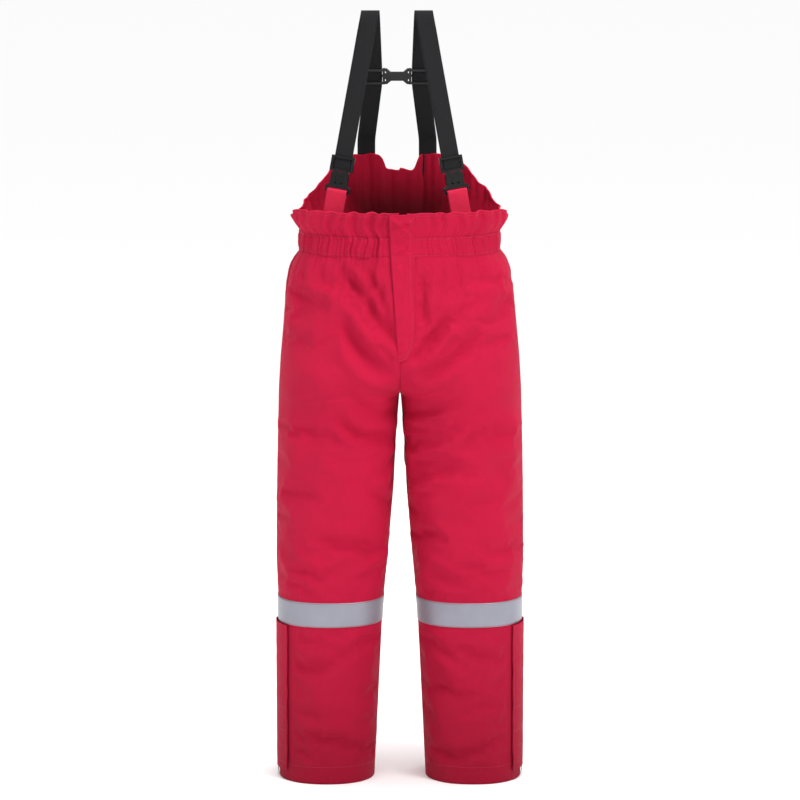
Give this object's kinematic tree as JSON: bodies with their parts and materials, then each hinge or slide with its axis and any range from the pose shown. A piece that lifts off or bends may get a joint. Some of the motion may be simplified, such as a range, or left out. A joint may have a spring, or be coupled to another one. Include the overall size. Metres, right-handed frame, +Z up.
{
  "type": "bunker pants",
  "caption": "Insulated over-trousers with a high gathered waist, fly, side leg zips, reflective shin bands and clip-on elastic braces.",
  "frame": {"origin": "between the tops of the two brace runs, where they lie on the shoulders", "axes": "+Z up, the front of the trousers faces -Y, +X is the wearer's left"},
  "size_m": [0.5046, 0.2718, 1.558],
  "materials": {
    "shell_fabric": "satin twill",
    "lining_fabric": "quilted lining",
    "tab_fabric": "woven tape",
    "webbing": "elastic webbing",
    "black_plastic": "moulded",
    "reflective_tape": "retroreflective",
    "elastic": "knitted",
    "zip_tape": "zip tape",
    "zip_metal": "dark enamel",
    "touch_fastener": "hook and loop"
  },
  "bodies": {
    "trousers": {"right_leg_front_panel": "shell_fabric", "right_leg_front_lining": "lining_fabric", "right_leg_back_panel": "shell_fabric", "right_leg_back_lining": "lining_fabric", "right_reflective_band": "reflective_tape", "right_hem_facing": "shell_fabric", "right_front_facing": "shell_fabric", "right_leg_zip_chain": "zip_tape", "right_leg_loop_patch": "touch_fastener", "right_brace_webbing": "webbing", "right_buckle_socket": "black_plastic", "right_brace_tab": "tab_fabric", "left_leg_front_panel": "shell_fabric", "left_leg_front_lining": "lining_fabric", "left_leg_back_panel": "shell_fabric", "left_leg_back_lining": "lining_fabric", "left_reflective_band": "reflective_tape", "left_hem_facing": "shell_fabric", "left_front_facing": "shell_fabric", "left_leg_zip_chain": "zip_tape", "left_leg_loop_patch": "touch_fastener", "left_brace_webbing": "webbing", "left_buckle_socket": "black_plastic", "left_brace_tab": "tab_fabric", "waistband_casing": "shell_fabric", "waist_elastic": "elastic", "back_bib": "shell_fabric", "fly_zip_chain": "zip_tape", "fly_shield": "shell_fabric", "waist_bar": "zip_metal", "yoke_connector": "black_plastic"},
    "fly_flap": {"fly_flap": "shell_fabric", "waist_hook": "zip_metal"},
    "fly_slider": {"fly_zip_slider": "zip_metal"},
    "fly_puller": {"fly_zip_puller": "zip_metal"},
    "right_leg_flap": {"right_leg_zip_flap": "shell_fabric", "right_leg_hook_patch": "touch_fastener"},
    "right_leg_slider": {"right_leg_zip_slider": "zip_metal"},
    "right_leg_puller": {"right_leg_zip_puller": "zip_metal"},
    "right_adjuster": {"right_brace_adjuster": "black_plastic"},
    "right_release": {"right_release_tongue": "black_plastic"},
    "left_leg_flap": {"left_leg_zip_flap": "shell_fabric", "left_leg_hook_patch": "touch_fastener"},
    "left_leg_slider": {"left_leg_zip_slider": "zip_metal"},
    "left_leg_puller": {"left_leg_zip_puller": "zip_metal"},
    "left_adjuster": {"left_brace_adjuster": "black_plastic"},
    "left_release": {"left_release_tongue": "black_plastic"}
  },
  "joints": [
    {"name": "fly_flap_swing", "type": "hinge", "parent": "trousers", "child": "fly_flap", "pos_m": [0.028, -0.1325, -0.538], "axis": [0, 0, 1], "range_deg": [0, 120]},
    {"name": "fly_zip_slide", "type": "slide", "parent": "trousers", "child": "fly_slider", "axis": [0, -0.0576, -0.9983], "range_m": [0, 0.15]},
    {"name": "fly_puller_swing", "type": "hinge", "parent": "fly_slider", "child": "fly_puller", "pos_m": [0.006, -0.10859, -0.4672], "axis": [0, 0.9983, -0.0576], "range_deg": [-45, 45]},
    {"name": "right_leg_flap_swing", "type": "hinge", "parent": "trousers", "child": "right_leg_flap", "pos_m": [-0.2508, 0.0236, -1.388], "axis": [0, 0, -1], "range_deg": [0, 150]},
    {"name": "right_leg_zip_slide", "type": "slide", "parent": "trousers", "child": "right_leg_slider", "axis": [0, 0, 1], "range_m": [0, 0.27]},
    {"name": "right_leg_puller_swing", "type": "hinge", "parent": "right_leg_slider", "child": "right_leg_puller", "pos_m": [-0.2431, 0, -1.5395], "axis": [-1, 0, 0], "range_deg": [-40, 40]},
    {"name": "right_adjuster_slide", "type": "slide", "parent": "trousers", "child": "right_adjuster", "axis": [0.1783, 0.1393, 0.9741], "range_m": [0, 0.18]},
    {"name": "right_release_press", "type": "slide", "parent": "trousers", "child": "right_release", "axis": [0.2047, 0.963, -0.1752], "range_m": [0, 0.0018], "stiffness_N_per_m": 300},
    {"name": "left_leg_flap_swing", "type": "hinge", "parent": "trousers", "child": "left_leg_flap", "pos_m": [0.2508, 0.0236, -1.388], "axis": [0, 0, 1], "range_deg": [0, 150]},
    {"name": "left_leg_zip_slide", "type": "slide", "parent": "trousers", "child": "left_leg_slider", "axis": [0, 0, 1], "range_m": [0, 0.27]},
    {"name": "left_leg_puller_swing", "type": "hinge", "parent": "left_leg_slider", "child": "left_leg_puller", "pos_m": [0.2431, 0, -1.5395], "axis": [1, 0, 0], "range_deg": [-40, 40]},
    {"name": "left_adjuster_slide", "type": "slide", "parent": "trousers", "child": "left_adjuster", "axis": [-0.1783, 0.1393, 0.9741], "range_m": [0, 0.18]},
    {"name": "left_release_press", "type": "slide", "parent": "trousers", "child": "left_release", "axis": [-0.2047, 0.963, -0.1752], "range_m": [0, 0.0018], "stiffness_N_per_m": 300}
  ]
}
